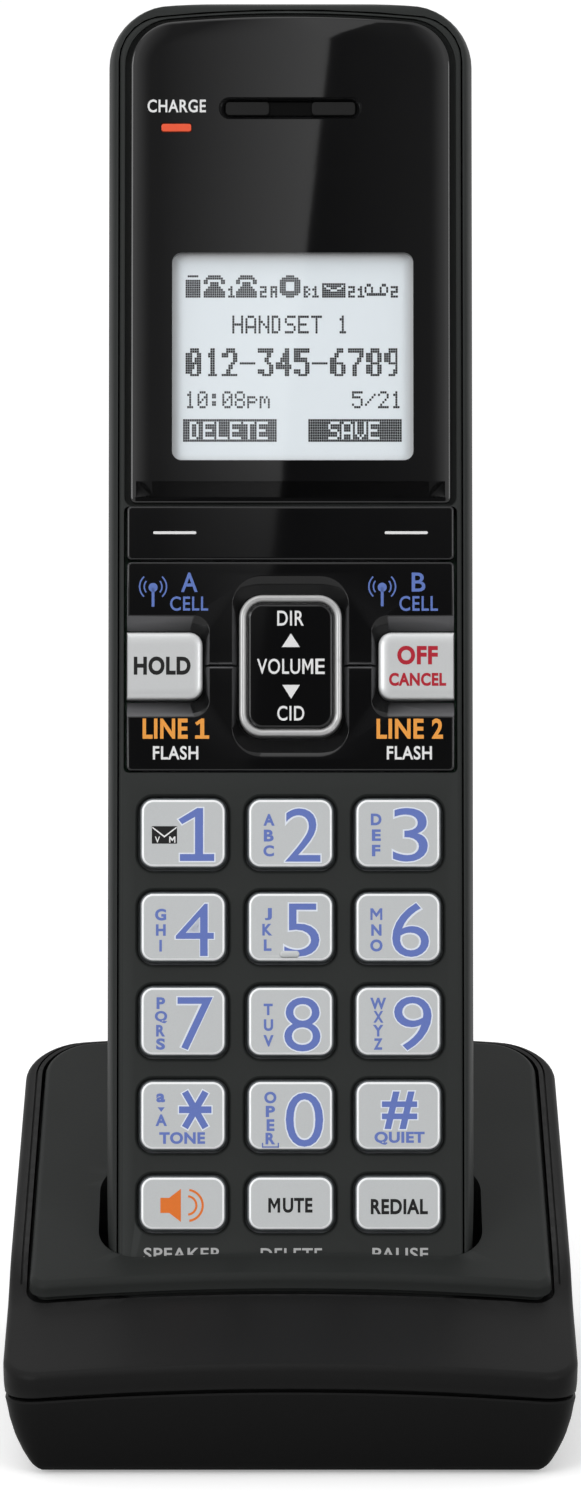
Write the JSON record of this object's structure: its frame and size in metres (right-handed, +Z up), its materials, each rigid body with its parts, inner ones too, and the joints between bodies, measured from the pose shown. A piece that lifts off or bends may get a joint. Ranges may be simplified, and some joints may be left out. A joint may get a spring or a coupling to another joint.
{
  "type": "cordless handset with charging cradle",
  "caption": "Cordless accessory handset with display, keypad and function keys, standing in a sloped charging cradle.",
  "frame": {"origin": "centre of the bounding box at the plane the feet stand on", "axes": "X right as the user faces it, -Y towards the user, +Z up along the longest extent"},
  "size_m": [0.0768, 0.0942, 0.1873],
  "materials": {
    "handset_front_shell": "charcoal, fine texture",
    "handset_rear_shell": "charcoal, fine texture",
    "face_lens": "piano black",
    "lcd_module": "pale blue-grey display",
    "earpiece_speaker": "black cloth over a speaker",
    "charge_light_pipe": "orange-red light pipe",
    "softkey_bar": "gloss black",
    "cell_key_plate": "gloss black",
    "line_key_plate": "gloss black",
    "hold_key": "satin silver paint",
    "off_key": "satin silver paint",
    "nav_ring": "satin chrome",
    "nav_cap": "gloss black",
    "keypad_mat": "grey silicone",
    "handset_circuit_board": "green board",
    "loudspeaker": "black",
    "microphone": "can",
    "battery_pack": "blue shrink wrap",
    "battery_cover": "charcoal, fine texture",
    "handset_charge_plates": "gold plated",
    "handset_screws": "plated steel",
    "cradle_top_shell": "satin black",
    "cradle_deck": "charcoal, fine texture",
    "cradle_base_tray": "satin black",
    "rubber_feet": "black rubber",
    "charge_contact_left": "gold plated",
    "charge_contact_right": "gold plated",
    "contact_holder": "black",
    "charger_board": "green board",
    "dc_jack": "black",
    "cradle_screws": "plated steel",
    "key_1": "silver-grey key",
    "key_2": "silver-grey key",
    "key_3": "silver-grey key",
    "key_4": "silver-grey key",
    "key_5": "silver-grey key",
    "key_6": "silver-grey key",
    "key_7": "silver-grey key",
    "key_8": "silver-grey key",
    "key_9": "silver-grey key",
    "key_star": "silver-grey key",
    "key_0": "silver-grey key",
    "key_pound": "silver-grey key",
    "key_speaker": "silver-grey key",
    "key_mute": "silver-grey key",
    "key_redial": "silver-grey key"
  },
  "bodies": {
    "cradle": {"cradle_top_shell": "cradle_top_shell", "cradle_deck": "cradle_deck", "cradle_base_tray": "cradle_base_tray", "rubber_feet": "rubber_feet", "contact_holder": "contact_holder", "charger_board": "charger_board", "dc_jack": "dc_jack", "cradle_screws": "cradle_screws"},
    "handset": {"handset_front_shell": "handset_front_shell", "handset_rear_shell": "handset_rear_shell", "face_lens": "face_lens", "lcd_module": "lcd_module", "earpiece_speaker": "earpiece_speaker", "charge_light_pipe": "charge_light_pipe", "keypad_mat": "keypad_mat", "handset_circuit_board": "handset_circuit_board", "loudspeaker": "loudspeaker", "microphone": "microphone", "battery_pack": "battery_pack", "handset_charge_plates": "handset_charge_plates", "handset_screws": "handset_screws"},
    "key_1": {"key_1": "key_1"},
    "key_2": {"key_2": "key_2"},
    "key_3": {"key_3": "key_3"},
    "key_4": {"key_4": "key_4"},
    "key_5": {"key_5": "key_5"},
    "key_6": {"key_6": "key_6"},
    "key_7": {"key_7": "key_7"},
    "key_8": {"key_8": "key_8"},
    "key_9": {"key_9": "key_9"},
    "key_star": {"key_star": "key_star"},
    "key_0": {"key_0": "key_0"},
    "key_pound": {"key_pound": "key_pound"},
    "key_speaker": {"key_speaker": "key_speaker"},
    "key_mute": {"key_mute": "key_mute"},
    "key_redial": {"key_redial": "key_redial"},
    "hold_key": {"hold_key": "hold_key"},
    "off_key": {"off_key": "off_key"},
    "nav_rocker": {"nav_ring": "nav_ring", "nav_cap": "nav_cap"},
    "softkey_bar": {"softkey_bar": "softkey_bar"},
    "cell_plate": {"cell_key_plate": "cell_key_plate"},
    "line_plate": {"line_key_plate": "line_key_plate"},
    "battery_cover": {"battery_cover": "battery_cover"},
    "contact_left": {"charge_contact_left": "charge_contact_left"},
    "contact_right": {"charge_contact_right": "charge_contact_right"}
  },
  "joints": [
    {"name": "handset_lift", "type": "slide", "parent": "cradle", "child": "handset", "axis": [0, 0.309, 0.9511], "range_m": [0, 0.06]},
    {"name": "key_1_press", "type": "slide", "parent": "handset", "child": "key_1", "axis": [0, 0.9511, -0.309], "range_m": [0, 0.0007], "stiffness_N_per_m": 800, "springref_m": -0.0006},
    {"name": "key_2_press", "type": "slide", "parent": "handset", "child": "key_2", "axis": [0, 0.9511, -0.309], "range_m": [0, 0.0007], "stiffness_N_per_m": 800, "springref_m": -0.0006},
    {"name": "key_3_press", "type": "slide", "parent": "handset", "child": "key_3", "axis": [0, 0.9511, -0.309], "range_m": [0, 0.0007], "stiffness_N_per_m": 800, "springref_m": -0.0006},
    {"name": "key_4_press", "type": "slide", "parent": "handset", "child": "key_4", "axis": [0, 0.9511, -0.309], "range_m": [0, 0.0007], "stiffness_N_per_m": 800, "springref_m": -0.0006},
    {"name": "key_5_press", "type": "slide", "parent": "handset", "child": "key_5", "axis": [0, 0.9511, -0.309], "range_m": [0, 0.0007], "stiffness_N_per_m": 800, "springref_m": -0.0006},
    {"name": "key_6_press", "type": "slide", "parent": "handset", "child": "key_6", "axis": [0, 0.9511, -0.309], "range_m": [0, 0.0007], "stiffness_N_per_m": 800, "springref_m": -0.0006},
    {"name": "key_7_press", "type": "slide", "parent": "handset", "child": "key_7", "axis": [0, 0.9511, -0.309], "range_m": [0, 0.0007], "stiffness_N_per_m": 800, "springref_m": -0.0006},
    {"name": "key_8_press", "type": "slide", "parent": "handset", "child": "key_8", "axis": [0, 0.9511, -0.309], "range_m": [0, 0.0007], "stiffness_N_per_m": 800, "springref_m": -0.0006},
    {"name": "key_9_press", "type": "slide", "parent": "handset", "child": "key_9", "axis": [0, 0.9511, -0.309], "range_m": [0, 0.0007], "stiffness_N_per_m": 800, "springref_m": -0.0006},
    {"name": "key_star_press", "type": "slide", "parent": "handset", "child": "key_star", "axis": [0, 0.9511, -0.309], "range_m": [0, 0.0007], "stiffness_N_per_m": 800, "springref_m": -0.0006},
    {"name": "key_0_press", "type": "slide", "parent": "handset", "child": "key_0", "axis": [0, 0.9511, -0.309], "range_m": [0, 0.0007], "stiffness_N_per_m": 800, "springref_m": -0.0006},
    {"name": "key_pound_press", "type": "slide", "parent": "handset", "child": "key_pound", "axis": [0, 0.9511, -0.309], "range_m": [0, 0.0007], "stiffness_N_per_m": 800, "springref_m": -0.0006},
    {"name": "key_speaker_press", "type": "slide", "parent": "handset", "child": "key_speaker", "axis": [0, 0.9511, -0.309], "range_m": [0, 0.0007], "stiffness_N_per_m": 800, "springref_m": -0.0006},
    {"name": "key_mute_press", "type": "slide", "parent": "handset", "child": "key_mute", "axis": [0, 0.9511, -0.309], "range_m": [0, 0.0007], "stiffness_N_per_m": 800, "springref_m": -0.0006},
    {"name": "key_redial_press", "type": "slide", "parent": "handset", "child": "key_redial", "axis": [0, 0.9511, -0.309], "range_m": [0, 0.0007], "stiffness_N_per_m": 800, "springref_m": -0.0006},
    {"name": "hold_press", "type": "slide", "parent": "handset", "child": "hold_key", "axis": [0, 0.9511, -0.309], "range_m": [0, 0.0006], "stiffness_N_per_m": 800, "springref_m": -0.0006},
    {"name": "off_press", "type": "slide", "parent": "handset", "child": "off_key", "axis": [0, 0.9511, -0.309], "range_m": [0, 0.0006], "stiffness_N_per_m": 800, "springref_m": -0.0006},
    {"name": "nav_rock", "type": "hinge", "parent": "handset", "child": "nav_rocker", "pos_m": [0, 0.00347, 0.09993], "axis": [1, 0, 0], "range_deg": [-3, 3], "stiffness_Nm_per_rad": 0.2},
    {"name": "softkey_bar_rock", "type": "hinge", "parent": "handset", "child": "softkey_bar", "pos_m": [0, 0.00836, 0.11756], "axis": [0, 0.309, 0.9511], "range_deg": [-0.7, 0.7], "stiffness_Nm_per_rad": 0.5},
    {"name": "cell_plate_rock", "type": "hinge", "parent": "handset", "child": "cell_plate", "pos_m": [0, 0.00496, 0.1071], "axis": [0, 0.309, 0.9511], "range_deg": [-0.7, 0.7], "stiffness_Nm_per_rad": 0.5},
    {"name": "line_plate_rock", "type": "hinge", "parent": "handset", "child": "line_plate", "pos_m": [0, 0.00049, 0.09335], "axis": [0, 0.309, 0.9511], "range_deg": [-0.7, 0.7], "stiffness_Nm_per_rad": 0.5},
    {"name": "battery_cover_slide", "type": "slide", "parent": "handset", "child": "battery_cover", "axis": [0, 0.454, -0.891], "range_m": [0, 0.012]},
    {"name": "contact_left_press", "type": "slide", "parent": "cradle", "child": "contact_left", "axis": [0, -0.309, -0.9511], "range_m": [0, 0.0006], "stiffness_N_per_m": 300, "springref_m": -0.0006},
    {"name": "contact_right_press", "type": "slide", "parent": "cradle", "child": "contact_right", "axis": [0, -0.309, -0.9511], "range_m": [0, 0.0006], "stiffness_N_per_m": 300, "springref_m": -0.0006}
  ]
}
